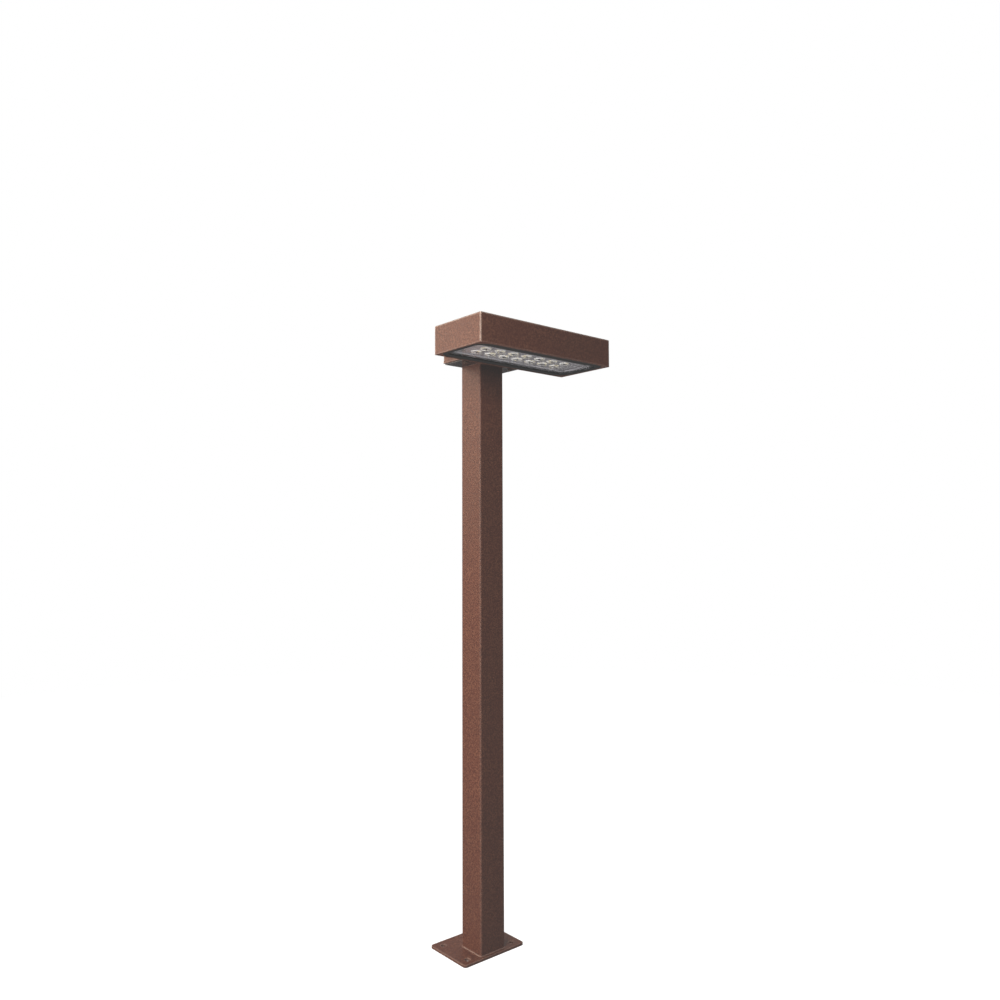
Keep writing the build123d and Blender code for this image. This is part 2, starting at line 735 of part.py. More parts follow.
with BuildPart() as led_chips:
    with BuildSketch(Plane.XY.offset(board_z - chip_thickness)):
        with Locations(lens_centre):
            with GridLocations(lens_pitch_x, lens_pitch_y, lens_columns, lens_rows):
                Rectangle(chip_size, chip_size)
    extrude(amount=chip_thickness)
led_chips.part.label = "led_chips"
export_step(led_chips.part, "parts/led_chips.step")

with BuildPart() as led_board:
    with BuildSketch(Plane.XY.offset(board_z)):
        with Locations(light_centre):
            Rectangle(board_length, board_depth)
        with Locations(panel_screw_points):
            Circle(panel_screw_r + panel_screw_gap, mode=Mode.SUBTRACT)
        with Locations(led_lead_hole):
            Circle(led_lead_hole_r, mode=Mode.SUBTRACT)
    extrude(amount=board_thickness)
led_board.part.label = "led_board"
export_step(led_board.part, "parts/led_board.step")

with BuildPart() as heat_plate:
    with BuildSketch(Plane.XY.offset(heat_plate_z)):
        with Locations(light_centre):
            RectangleRounded(heat_plate_length, heat_plate_depth, heat_plate_corner_r)
        with Locations(panel_screw_points + driver_screw_points):
            Circle(panel_screw_r + thread_gap, mode=Mode.SUBTRACT)
        with Locations(standoff_points):
            Circle(plate_screw_r + plate_screw_gap, mode=Mode.SUBTRACT)
        with Locations(led_lead_hole):
            Circle(led_lead_hole_r, mode=Mode.SUBTRACT)
    extrude(amount=heat_plate_thickness)
heat_plate.part.label = "heat_plate"
export_step(heat_plate.part, "parts/heat_plate.step")

with BuildPart() as panel_spacers:
    with BuildSketch(Plane.XY.offset(lens_plate_z)):
        with Locations(panel_screw_points):
            Circle(spacer_r)
            Circle(panel_screw_r + spacer_gap, mode=Mode.SUBTRACT)
    extrude(amount=board_z - lens_plate_z)
panel_spacers.part.label = "panel_spacers"
export_step(panel_spacers.part, "parts/panel_spacers.step")

with BuildPart() as panel_screws:
    with BuildSketch(Plane.XY.offset(panel_z - panel_screw_head)):
        with Locations(panel_screw_points):
            Circle(panel_screw_head_r)
    extrude(amount=panel_screw_head)
    fillet(panel_screws.faces().sort_by(Axis.Z)[:4].edges(), panel_screw_edge_r)
    with BuildSketch(Plane.XY.offset(panel_z)):
        with Locations(panel_screw_points):
            Circle(panel_screw_r)
    extrude(amount=heat_plate_z + heat_plate_thickness - panel_z)
    with BuildSketch(Plane.XY.offset(panel_z - panel_screw_head)):
        with Locations(panel_screw_points):
            Rectangle(cross_length, cross_width)
            Rectangle(cross_width, cross_length)
    extrude(amount=cross_depth, mode=Mode.SUBTRACT)
panel_screws.part.label = "panel_screws"
export_step(panel_screws.part, "parts/panel_screws.step")

with BuildPart() as plate_standoffs:
    with BuildSketch(Plane.XY.offset(driver_z)):
        with Locations(standoff_points):
            RegularPolygon(standoff_across_flats / 2, 6, major_radius=False)
    extrude(amount=head_roof_z - driver_z)
    with BuildSketch(Plane.XY.offset(driver_z)):
        with Locations(standoff_points):
            Circle(plate_screw_r + thread_gap)
    extrude(amount=10, mode=Mode.SUBTRACT)
plate_standoffs.part.label = "plate_standoffs"
export_step(plate_standoffs.part, "parts/plate_standoffs.step")

with BuildPart() as plate_screws:
    with BuildSketch(Plane.XY.offset(heat_plate_z - plate_screw_head)):
        with Locations(standoff_points):
            Circle(plate_screw_head_r)
    extrude(amount=plate_screw_head)
    fillet(plate_screws.faces().sort_by(Axis.Z)[:4].edges(), plate_screw_edge_r)
    with BuildSketch(Plane.XY.offset(heat_plate_z)):
        with Locations(standoff_points):
            Circle(plate_screw_r)
    extrude(amount=heat_plate_thickness + plate_screw_reach)
plate_screws.part.label = "plate_screws"
export_step(plate_screws.part, "parts/plate_screws.step")

# ======================= driver =======================

driver_centre_x = driver_x0 + driver_length / 2
driver_ear_thickness = 3.0

with BuildPart() as driver:
    with BuildSketch(Plane.XY.offset(driver_z)):
        with Locations((driver_centre_x, head_centre_y)):
            RectangleRounded(driver_length, driver_depth, driver_corner_r)
    extrude(amount=driver_height)
    fillet(driver.faces().sort_by(Axis.Z)[-1].edges(), driver_edge_r)
    with BuildSketch(Plane.XY.offset(driver_z)):
        with Locations((driver_centre_x, head_centre_y)):
            Rectangle(driver_length + 2 * driver_ear, driver_depth / 2)
        with Locations(driver_screw_points):
            Circle(panel_screw_r + driver_hole_gap, mode=Mode.SUBTRACT)
    extrude(amount=driver_ear_thickness)
driver.part.label = "driver"
export_step(driver.part, "parts/driver.step")

with BuildPart() as driver_screws:
    with BuildSketch(Plane.XY.offset(heat_plate_z + 0.5)):
        with Locations(driver_screw_points):
            Circle(panel_screw_r)
    extrude(amount=heat_plate_thickness - 0.5 + driver_ear_thickness)
    with BuildSketch(Plane.XY.offset(driver_z + driver_ear_thickness)):
        with Locations(driver_screw_points):
            Circle(panel_screw_head_r)
    extrude(amount=2)
    fillet(driver_screws.faces().sort_by(Axis.Z)[-2:].edges(), 0.9)
driver_screws.part.label = "driver_screws"
export_step(driver_screws.part, "parts/driver_screws.step")

# ======================= leads in the head =======================


def supply_route(pole_x, grommet_offset, driver_offset):
    """From a terminal, forward through the grommet, then along to the driver's input end."""
    x = wire_x + grommet_offset
    y = head_centre_y + driver_offset
    return [
        (pole_x, terminal_front + 4, terminal_wire_z),
        (pole_x, -18.0, terminal_wire_z + 1.0),
        (x, -40.0, wire_z),
        (x, y, wire_z + 0.5),
        (driver_x0, y, wire_z + 0.5),
    ]


live_route = supply_route(terminal_pole_xs[0], -1.8, 4.5)
neutral_route = supply_route(terminal_pole_xs[1], 1.8, 8.5)
live_lead = lead(live_route, corner_radii(live_route), mains_lead_d)
live_lead.label = "live_lead"
export_step(live_lead, "parts/live_lead.step")
neutral_lead = lead(neutral_route, corner_radii(neutral_route), mains_lead_d)
neutral_lead.label = "neutral_lead"
export_step(neutral_lead, "parts/neutral_lead.step")


def led_route(offset):
    """From the driver's output end, down through the heat plate to the board's face."""
    y = head_centre_y + offset
    return [
        (driver_x0 + driver_length, y, driver_z + 10),
        (led_lead_hole[0], y, driver_z + 10),
        (led_lead_hole[0], y, board_z - 0.4),
    ]


for lead_name, offset in (("led_lead_plus", 1.4), ("led_lead_minus", -1.4)):
    led_lead = lead(led_route(offset), corner_radii(led_route(offset)), led_lead_d)
    led_lead.label = lead_name
    export_step(led_lead, f"parts/{lead_name}.step")
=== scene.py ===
import json
from math import cos, pi, radians, sin

import bmesh
import bpy
from mathutils import Matrix, Vector, noise


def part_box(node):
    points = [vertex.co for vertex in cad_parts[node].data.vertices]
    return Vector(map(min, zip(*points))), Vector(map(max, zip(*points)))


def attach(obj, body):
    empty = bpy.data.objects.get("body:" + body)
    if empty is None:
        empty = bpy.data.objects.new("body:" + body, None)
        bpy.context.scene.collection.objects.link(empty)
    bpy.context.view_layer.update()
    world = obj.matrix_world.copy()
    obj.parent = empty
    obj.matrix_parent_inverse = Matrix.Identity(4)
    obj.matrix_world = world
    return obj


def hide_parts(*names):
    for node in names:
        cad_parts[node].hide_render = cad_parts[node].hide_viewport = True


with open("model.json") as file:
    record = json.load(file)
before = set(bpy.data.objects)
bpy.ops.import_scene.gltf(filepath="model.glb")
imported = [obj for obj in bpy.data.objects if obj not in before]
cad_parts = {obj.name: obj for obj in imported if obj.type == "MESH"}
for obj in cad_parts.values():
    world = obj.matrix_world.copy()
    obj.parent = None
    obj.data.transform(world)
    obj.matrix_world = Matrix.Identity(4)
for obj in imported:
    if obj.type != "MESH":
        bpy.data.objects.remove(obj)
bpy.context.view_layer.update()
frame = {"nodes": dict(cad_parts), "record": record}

BODY = "root"
MM = 0.001

# ======================= camera =======================

CAMERA_AT = Vector((-0.9055, -1.1074, 0.6582))
CAMERA_TURN = radians(40.46)        # from +Y towards +X
CAMERA_RISE = radians(3.15)
CAMERA_ROLL = radians(-0.18)
CAMERA_LENS = 30.60                 # mm
SENSOR_WIDTH = 36.0                 # mm
SIGHT_LIMIT = 50.0


def make_camera():
    camera_data = bpy.data.cameras.new("camera")
    camera_data.sensor_width = SENSOR_WIDTH
    camera_data.lens = CAMERA_LENS
    camera_data.clip_end = SIGHT_LIMIT
    camera = bpy.data.objects.new("camera", camera_data)
    turn = Matrix.Rotation(-CAMERA_TURN, 4, "Z")
    rise = Matrix.Rotation(pi / 2 + CAMERA_RISE, 4, "X")
    roll = Matrix.Rotation(CAMERA_ROLL, 4, "Z")
    camera.matrix_world = Matrix.Translation(CAMERA_AT) @ turn @ rise @ roll
    bpy.context.collection.objects.link(camera)
    bpy.context.scene.camera = camera


# ======================= light, floor and surroundings =======================

WHITE = (1.0, 1.0, 1.0)
LIGHTS = {
    # name: (place, aim, width and height, watts, colour)
    "key": ((-1.12, -0.70, 1.16), (0, -0.05, 0.30), (0.45, 0.5), 18.5, (1.0, 0.965, 0.90)),
    "low_left": ((-1.6, 0.15, 0.55), (0, 0, 0.45), (0.8, 1.0), 14.0, (1.0, 0.93, 0.86)),
    "low_right": ((1.7, 0.2, 0.6), (0, 0, 0.45), (0.8, 1.0), 9.0, (1.0, 0.93, 0.86)),
    "back_left": ((-1.42, 1.75, 1.72), (0, 0, 0.85), (1.3, 1.5), 38.0, (1.0, 0.88, 0.73)),
    "back_right": ((1.7, 1.5, 1.35), (0, 0, 0.6), (1.3, 1.3), 5.0, (1.0, 0.92, 0.85)),
    "lens_glint_left": ((-1.2, 0.0, 0.66), (0, -0.1, 0.96), (0.5, 0.35), 34.0, WHITE),
    "lens_glint_front": ((0.5, -1.3, 0.66), (0, -0.1, 0.96), (0.5, 0.35), 34.0, WHITE),
    "under_bounce": ((0, -0.38, 0.05), (0, -0.12, 0.96), (0.7, 0.5), 3.0, WHITE),
    "overhead": ((0.1, 0.1, 2.6), (0, 0, 0), (1.6, 1.6), 7.0, (1.0, 0.94, 0.88)),
}
NOT_MIRRORED = ("low_left", "low_right")   # fills that no surface shows as a reflection
SHINES_ONLY_ON = {
    "lens_glint_left": "lens_side",
    "lens_glint_front": "lens_side",
    "under_bounce": "head_side",
}
SIDES = {                       # the nodes and pieces that a side's own lights shine on
    "lens_side": ("reflector_panel", "lens_moulding", "led_packages", "led_board"),
    "head_side": ("head_housing", "glass_gasket"),
}
BLACK_LIFT = 0.030              # how far the film lifts pure black
FLOOR_RADIUS = 3.2
FLOOR_SIDES = 96
FLOOR_TONE = (0.25, 0.25, 0.255)
FLOOR_GLOW = 0.96
ROOM_TONES = (                  # (height, colour) from straight down, 0, to straight up, 1
    (0.0, (0.05, 0.05, 0.053)),
    (0.46, (0.05, 0.05, 0.053)),
    (0.56, (0.055, 0.055, 0.058)),
    (0.75, (0.12, 0.12, 0.125)),
    (1.0, (0.22, 0.22, 0.23)),
)


def area_light(name, place, aim, size, watts, colour):
    light_data = bpy.data.lights.new(name, "AREA")
    light_data.shape = "RECTANGLE"
    light_data.size, light_data.size_y = size
    light_data.energy = watts
    light_data.color = colour
    light = bpy.data.objects.new(name, light_data)
    turn = (Vector(aim) - Vector(place)).to_track_quat("-Z", "Y").to_matrix().to_4x4()
    light.matrix_world = Matrix.Translation(place) @ turn
    bpy.context.collection.objects.link(light)
    return light


def make_lights():
    """All the lights, with an empty collection for each side. fill_sides fills them once the pieces exist."""
    sides = {side: bpy.data.collections.new(side) for side in SIDES}
    for name, facts in LIGHTS.items():
        light = area_light(name, *facts)
        light.visible_glossy = name not in NOT_MIRRORED
        if name in SHINES_ONLY_ON:
            light.light_linking.receiver_collection = sides[SHINES_ONLY_ON[name]]


def fill_sides():
    for side, names in SIDES.items():
        for name in names:
            bpy.data.collections[side].objects.link(bpy.data.objects[name])


def make_world():
    """White to the camera; to everything else a dim room, darkest low down and lighter overhead."""
    world = bpy.data.worlds.new("studio")
    bpy.context.scene.world = world
    world.use_nodes = True
    tree = world.node_tree
    tree.nodes.clear()
    coords = tree.nodes.new("ShaderNodeTexCoord")
    split = tree.nodes.new("ShaderNodeSeparateXYZ")
    tree.links.new(coords.outputs["Generated"], split.inputs[0])
    lift = tree.nodes.new("ShaderNodeMapRange")
    lift.inputs["From Min"].default_value = -1.0
    tree.links.new(split.outputs["Z"], lift.inputs["Value"])
    ramp = tree.nodes.new("ShaderNodeValToRGB")
    set_ramp(ramp, ROOM_TONES)
    tree.links.new(lift.outputs["Result"], ramp.inputs[0])
    room = tree.nodes.new("ShaderNodeBackground")
    tree.links.new(ramp.outputs[0], room.inputs["Color"])
    backdrop = tree.nodes.new("ShaderNodeBackground")
    backdrop.inputs["Color"].default_value = (*WHITE, 1.0)
    path = tree.nodes.new("ShaderNodeLightPath")
    mix = tree.nodes.new("ShaderNodeMixShader")
    out = tree.nodes.new("ShaderNodeOutputWorld")
    tree.links.new(path.outputs["Is Camera Ray"], mix.inputs[0])
    tree.links.new(room.outputs[0], mix.inputs[1])
    tree.links.new(backdrop.outputs[0], mix.inputs[2])
    tree.links.new(mix.outputs[0], out.inputs[0])


def make_film():
    """Neutral film with slightly lifted blacks."""
    view = bpy.context.scene.view_settings
    view.view_transform = "Standard"
    view.use_curve_mapping = True
    view.curve_mapping.black_level = (-BLACK_LIFT,) * 3
    view.curve_mapping.update()


def make_floor():
    """Pale round floor that glows nearly to the backdrop's white, but only as the camera sees it."""
    mesh = bpy.data.meshes.new("floor")
    shape = bmesh.new()
    bmesh.ops.create_circle(shape, cap_ends=True, segments=FLOOR_SIDES, radius=FLOOR_RADIUS)
    shape.to_mesh(mesh)
    shape.free()
    floor = bpy.data.objects.new("floor", mesh)
    bpy.context.collection.objects.link(floor)
    material = bpy.data.materials.new("floor")
    material.use_nodes = True
    tree = material.node_tree
    tree.nodes.clear()
    pale = tree.nodes.new("ShaderNodeBsdfDiffuse")
    pale.inputs["Color"].default_value = (*FLOOR_TONE, 1.0)
    glow = tree.nodes.new("ShaderNodeEmission")
    glow.inputs["Strength"].default_value = FLOOR_GLOW
    both = tree.nodes.new("ShaderNodeAddShader")
    path = tree.nodes.new("ShaderNodeLightPath")
    mix = tree.nodes.new("ShaderNodeMixShader")
    out = tree.nodes.new("ShaderNodeOutputMaterial")
    tree.links.new(pale.outputs[0], both.inputs[0])
    tree.links.new(glow.outputs[0], both.inputs[1])
    tree.links.new(path.outputs["Is Camera Ray"], mix.inputs[0])
    tree.links.new(pale.outputs[0], mix.inputs[1])
    tree.links.new(both.outputs[0], mix.inputs[2])
    tree.links.new(mix.outputs[0], out.inputs[0])
    mesh.materials.append(material)


# ======================= material helpers =======================


def set_ramp(ramp, stops):
    """stops: (position, (r, g, b)) pairs, from low to high."""
    elements = ramp.color_ramp.elements
    while len(elements) < len(stops):
        elements.new(0.5)
    for element, (position, colour) in zip(elements, stops):
        element.position = position
        element.color = (*colour, 1.0)


EDGE_SAMPLES = 6
EDGE_BEND = (0.004, 0.05)       # how bent the rounded normal is where the painted edge highlight begins and where it is full
EDGE_RISE = (-0.45, -0.15)      # its upward part: below the first, an edge faces down and gets no painted highlight


class Surface:
    """A Principled material with the few node shapes that this scene's finishes share.

    Every noise's scale is in features per metre.
    """

    def __init__(self, name, colour, roughness, metallic=0.0, **sockets):
        self.material = bpy.data.materials.new(name)
        self.material.use_nodes = True
        self.tree = self.material.node_tree
        self.shader = self.tree.nodes["Principled BSDF"]
        self.shader.inputs["Base Color"].default_value = (*colour, 1.0)
        self.shader.inputs["Roughness"].default_value = roughness
        self.shader.inputs["Metallic"].default_value = metallic
        for socket, value in sockets.items():
            self.shader.inputs[socket.replace("_", " ")].default_value = value
        self.place = self.tree.nodes.new("ShaderNodeTexCoord").outputs["Object"]

    def link(self, source, target):
        self.tree.links.new(source, target)

    def noise(self, scale, detail=3.0, roughness=0.55, stretch=None):
        """stretch scales the noise along the three axes."""
        node = self.tree.nodes.new("ShaderNodeTexNoise")
        node.inputs["Scale"].default_value = scale
        node.inputs["Detail"].default_value = detail
        node.inputs["Roughness"].default_value = roughness
        place = self.place
        if stretch:
            mapping = self.tree.nodes.new("ShaderNodeMapping")
            mapping.inputs["Scale"].default_value = stretch
            self.link(place, mapping.inputs["Vector"])
            place = mapping.outputs["Vector"]
        self.link(place, node.inputs["Vector"])
        return node.outputs["Fac"]

    def ramp(self, factor, *stops):
        node = self.tree.nodes.new("ShaderNodeValToRGB")
        set_ramp(node, stops)
        self.link(factor, node.inputs[0])
        return node.outputs["Color"]

    def span(self, factor, low, high, source_low=0.3, source_high=0.7):
        """Maps source_low..source_high, by default a noise's usual reach, to low..high."""
        node = self.tree.nodes.new("ShaderNodeMapRange")
        node.inputs["From Min"].default_value = source_low
        node.inputs["From Max"].default_value = source_high
        node.inputs["To Min"].default_value = low
        node.inputs["To Max"].default_value = high
        self.link(factor, node.inputs["Value"])
        return node.outputs["Result"]

    def mix(self, factor, first, second):
        node = self.tree.nodes.new("ShaderNodeMix")
        node.data_type = "RGBA"
        for value, name in ((factor, "Factor"), (first, "A"), (second, "B")):
            socket = node.inputs[name]
            if hasattr(value, "is_linked"):
                self.link(value, socket)
            else:
                socket.default_value = value if socket.type == "VALUE" else (*value, 1.0)
        return node.outputs["Result"]

    def math(self, operation, first, second):
        node = self.tree.nodes.new("ShaderNodeMath")
        node.operation = operation
        for value, socket in ((first, node.inputs[0]), (second, node.inputs[1])):
            if hasattr(value, "is_linked"):
                self.link(value, socket)
            else:
                socket.default_value = value
        return node.outputs[0]

    def edges(self, radius):
        """Mask for a painted edge highlight: 0 on flat ground, 1 on the rim of an edge that doesn't face
        down.
        """
        bevel = self.tree.nodes.new("ShaderNodeBevel")
        bevel.samples = EDGE_SAMPLES
        bevel.inputs["Radius"].default_value = radius
        geometry = self.tree.nodes.new("ShaderNodeNewGeometry")
        dot = self.tree.nodes.new("ShaderNodeVectorMath")
        dot.operation = "DOT_PRODUCT"
        self.link(bevel.outputs["Normal"], dot.inputs[0])
        self.link(geometry.outputs["Normal"], dot.inputs[1])
        bend = self.span(self.math("SUBTRACT", 1.0, dot.outputs["Value"]), 0.0, 1.0, *EDGE_BEND)
        split = self.tree.nodes.new("ShaderNodeSeparateXYZ")
        self.link(bevel.outputs["Normal"], split.inputs[0])
        upward = self.span(split.outputs["Z"], 0.0, 1.0, *EDGE_RISE)
        return self.math("MULTIPLY", bend, upward)

    def colour(self, source):
        self.link(source, self.shader.inputs["Base Color"])

    def rough(self, source):
        self.link(source, self.shader.inputs["Roughness"])

    def bump(self, height, strength, distance):
        node = self.tree.nodes.new("ShaderNodeBump")
        node.inputs["Strength"].default_value = strength
        node.inputs["Distance"].default_value = distance
        self.link(height, node.inputs["Height"])
        self.link(node.outputs["Normal"], self.shader.inputs["Normal"])


# ======================= materials =======================

COAT_DARK = (0.066, 0.0150, 0.0065)
COAT_MID = (0.100, 0.0285, 0.0138)
COAT_LIGHT = (0.165, 0.0620, 0.0330)
COAT_RED = (0.094, 0.0230, 0.0120)
COAT_DULL = (0.070, 0.0270, 0.0160)
# painted highlight colour, laid on edges that don't face down
COAT_EDGE_HIGHLIGHT = (0.72, 0.58, 0.50)
HIGHLIGHT_REACH = 0.0034           # how far the painted edge highlight reaches in from an edge


def powder_coat(name, highlight_strength, roughness=0.50):
    """Rust-brown powder coat: a grain of a millimetre or two, slow drifts of tone, and a painted highlight on
    edges that don't face down.
    """
    coat = Surface(name, COAT_MID, roughness, IOR=1.5, Specular_IOR_Level=0.3)
    coarse = coat.math("MULTIPLY", coat.noise(390.0, 2.0, 0.6), 0.62)
    fine = coat.math("MULTIPLY", coat.noise(950.0), 0.38)
    grain = coat.math("ADD", coarse, fine)
    fleck = coat.noise(320.0, 2.0, 0.6)
    cloud = coat.noise(38.0, 4.0, 0.65)
    drift = coat.noise(5.0, 2.0, 0.5)
    tone = coat.ramp(grain, (0.43, COAT_DARK), (0.50, COAT_MID), (0.575, COAT_LIGHT))
    redder = coat.mix(coat.span(cloud, 0.0, 0.4, 0.40, 0.62), tone, COAT_RED)
    slow = coat.mix(coat.span(drift, 0.0, 0.35), redder, COAT_DULL)
    flecked = coat.mix(coat.span(fleck, 0.0, 0.75, 0.60, 0.74), slow, COAT_LIGHT)
    # painted edge highlight: a patchy bright colour on edges that don't face down, its strength set per coat
    patches = coat.span(coat.noise(260.0), 0.45 * highlight_strength, highlight_strength)
    highlight_mask = coat.math("MULTIPLY", coat.edges(HIGHLIGHT_REACH), patches)
    coat.colour(coat.mix(highlight_mask, flecked, COAT_EDGE_HIGHLIGHT))
    coat.rough(coat.span(fleck, roughness - 0.06, roughness + 0.10))
    relief = coat.math("ADD", grain, coat.math("MULTIPLY", fleck, 0.8))
    coat.bump(relief, 0.45, 0.00060)
    return coat.material


def satin_plate():
    """The box's underside plate: the same brown, sprayed smooth, so that it mirrors at a low angle."""
    coat = Surface("satin_plate", (0.050, 0.036, 0.036), 0.20, IOR=1.5)
    cloud = coat.noise(90.0, 3.0)
    coat.colour(coat.ramp(cloud, (0.3, (0.044, 0.031, 0.031)), (0.7, (0.058, 0.042, 0.042))))
    coat.rough(coat.span(coat.noise(300.0), 0.18, 0.24))
    coat.bump(coat.noise(90.0, 2.0), 0.03, 0.0002)
    return coat.material


def black_rubber():
    rubber = Surface("black_rubber", (0.012, 0.012, 0.0125), 0.82, IOR=1.42)
    grain = rubber.noise(700.0)
    rubber.colour(rubber.ramp(grain, (0.35, (0.009, 0.009, 0.0095)), (0.7, (0.018, 0.018, 0.019))))
    rubber.rough(rubber.span(rubber.noise(160.0), 0.74, 0.92))
    rubber.bump(rubber.noise(1500.0, 2.0), 0.25, 0.0001)
    return rubber.material


def clear_pane():
    """Toughened glass: a faint green body, dulled here and there by a thin film of dust."""
    pane = Surface("clear_pane", (0.95, 0.98, 0.965), 0.02, IOR=1.5, Transmission_Weight=1.0, Alpha=0.3)
    pane.rough(pane.span(pane.noise(45.0, 4.0), 0.0, 0.09, 0.45, 0.75))
    pane.bump(pane.noise(9.0, 1.0), 0.03, 0.0003)
    return pane.material


def lens_plastic():
    """Moulded acrylic with a painted glint: the lenses' steep sides get a bright white-to-yellow colour and
    little transmission, and flat faces stay grey and clearer.
    """
    lens = Surface("lens_plastic", (0.97, 0.96, 0.90), 0.03, IOR=1.49)
    facing = lens.tree.nodes.new("ShaderNodeSeparateXYZ")
    lens.link(lens.tree.nodes.new("ShaderNodeNewGeometry").outputs["Normal"], facing.inputs[0])
    steep = lens.span(facing.outputs["Z"], 0.0, 1.0, -0.985, -0.80)
    # painted glint: bright white-to-yellow colour for the lenses' steep sides
    glow = lens.ramp(lens.noise(160.0), (0.36, (0.96, 0.84, 0.54)), (0.52, (0.97, 0.96, 0.95)))
    lens.colour(lens.mix(steep, (0.30, 0.29, 0.30), glow))
    lens.link(lens.span(steep, 0.6, 0.08, 0.0, 1.0), lens.shader.inputs["Transmission Weight"])
    lens.rough(lens.span(lens.noise(300.0), 0.01, 0.06))
    return lens.material


GREY_TONE = (0.345, 0.335, 0.36)


def grey_paint():
    """Matt paint, with next to no mirror reflection."""
    paint = Surface("grey_paint", GREY_TONE, 0.60, IOR=1.5, Specular_IOR_Level=0.03)
    darker, lighter = (0.305, 0.295, 0.315), (0.385, 0.375, 0.40)
    speckle = paint.noise(900.0)
    paint.colour(paint.ramp(speckle, (0.3, darker), (0.55, GREY_TONE), (0.75, lighter)))
    paint.rough(paint.span(paint.noise(200.0), 0.54, 0.68))
    paint.bump(paint.noise(1300.0, 2.0), 0.12, 0.0001)
    return paint.material


def metal(name, colour, roughness, stretch=(1, 1, 1), tint=0.12):
    """Bare or plated metal with fine directional scratches and patches of dulling."""
    surface = Surface(name, colour, roughness, metallic=1.0)
    scratch = surface.noise(900.0, 4.0, 0.7, stretch)
    patch = surface.noise(150.0, 3.0)
    darker = tuple(channel * (1 - tint) for channel in colour)
    lighter = tuple(min(1.0, channel * (1 + tint)) for channel in colour)
    surface.colour(surface.ramp(patch, (0.3, darker), (0.7, lighter)))
    surface.rough(surface.span(scratch, roughness - 0.08, roughness + 0.14))
    surface.bump(scratch, 0.10, 0.00006)
    return surface.material


def plastic(name, colour, roughness, grain=1200.0, strength=0.12):
    surface = Surface(name, colour, roughness)
    darker = tuple(channel * 0.86 for channel in colour)
    lighter = tuple(min(1.0, channel * 1.12) for channel in colour)
    surface.colour(surface.ramp(surface.noise(220.0), (0.3, darker), (0.7, lighter)))
    surface.rough(surface.span(surface.noise(90.0), roughness - 0.05, roughness + 0.08))
    surface.bump(surface.noise(grain, 2.0), strength, 0.00008)
    return surface.material


def phosphor():
    chip = Surface("phosphor", (0.86, 0.66, 0.16), 0.28)
    chip.colour(chip.ramp(chip.noise(2500.0), (0.3, (0.80, 0.58, 0.10)), (0.7, (0.90, 0.74, 0.24))))
    chip.rough(chip.span(chip.noise(800.0), 0.2, 0.36))
    return chip.material


def striped_lead():
    """Green and yellow insulation of an earth lead, in stripes along it."""
    lead = Surface("striped_lead", (0.25, 0.42, 0.06), 0.45)
    stripes = lead.tree.nodes.new("ShaderNodeTexWave")
    stripes.inputs["Scale"].default_value = 120.0
    stripes.inputs["Distortion"].default_value = 0.6
    lead.link(lead.place, stripes.inputs["Vector"])
    lead.colour(lead.ramp(stripes.outputs["Fac"], (0.46, (0.05, 0.22, 0.04)), (0.54, (0.72, 0.62, 0.05))))
    lead.bump(lead.noise(900.0), 0.1, 0.00008)
    return lead.material


def make_materials():
    return {
        # the number after each coat's name sets the strength of its painted edge highlight
        "rust_coat": powder_coat("powder_coat_steel", 0.22),
        "rust_coat_alloy": powder_coat("powder_coat_alloy", 0.85),
        "plate_coat": satin_plate(),
        "black_silicone": black_rubber(),
        "clear_glass": clear_pane(),
        "clear_lens": lens_plastic(),
        "grey_panel": grey_paint(),
        "board_white": plastic("solder_mask", (0.74, 0.74, 0.70), 0.35),
        "led_phosphor": phosphor(),
        "ceramic": plastic("ceramic", (0.80, 0.80, 0.78), 0.30),
        "bare_aluminium": metal("mill_aluminium", (0.80, 0.81, 0.82), 0.36, (1, 0.05, 1)),
        "zinc_steel": metal("zinc_plate", (0.66, 0.66, 0.64), 0.30),
        "dull_steel": metal("dull_steel", (0.30, 0.21, 0.16), 0.46),
        "brass_screw": metal("brass", (0.80, 0.60, 0.28), 0.28),
        "natural_nylon": plastic("nylon", (0.78, 0.76, 0.70), 0.50),
        "driver_case": plastic("driver_case", (0.020, 0.020, 0.022), 0.46),
        "lead_brown": plastic("lead_brown", (0.14, 0.055, 0.022), 0.42),
        "lead_blue": plastic("lead_blue", (0.02, 0.09, 0.36), 0.42),
        "lead_green_yellow": striped_lead(),
        "lead_red": plastic("lead_red", (0.45, 0.02, 0.02), 0.42),
        "lead_black": plastic("lead_black", (0.015, 0.015, 0.015), 0.42),
    }


FINER = {"hood_screws": "dull_steel"}      # nodes whose finish differs a little from their slot's


def dress_frame(materials):
    """Gives every CAD node the finish of its own slot in the record."""
    slots = {row["node"]: row["material_slot"] for row in frame["record"]["subparts"]}
    for name, node in frame["nodes"].items():
        node.data.materials.clear()
        node.data.materials.append(materials[FINER.get(name, slots[name])])


# ======================= pieces =======================


def new_piece(name, shape, material, slot, *replaced):
    """Turns a bmesh into a shaded piece on the body that stands for the replaced CAD nodes."""
    bmesh.ops.recalc_face_normals(shape, faces=shape.faces)
    mesh = bpy.data.meshes.new(name)
    shape.to_mesh(mesh)
    shape.free()
    mesh.materials.append(material)
    for face in mesh.polygons:
        face.use_smooth = True
    piece = bpy.data.objects.new(name, mesh)
    bpy.context.collection.objects.link(piece)
    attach(piece, BODY)
    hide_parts(*replaced)
    return piece


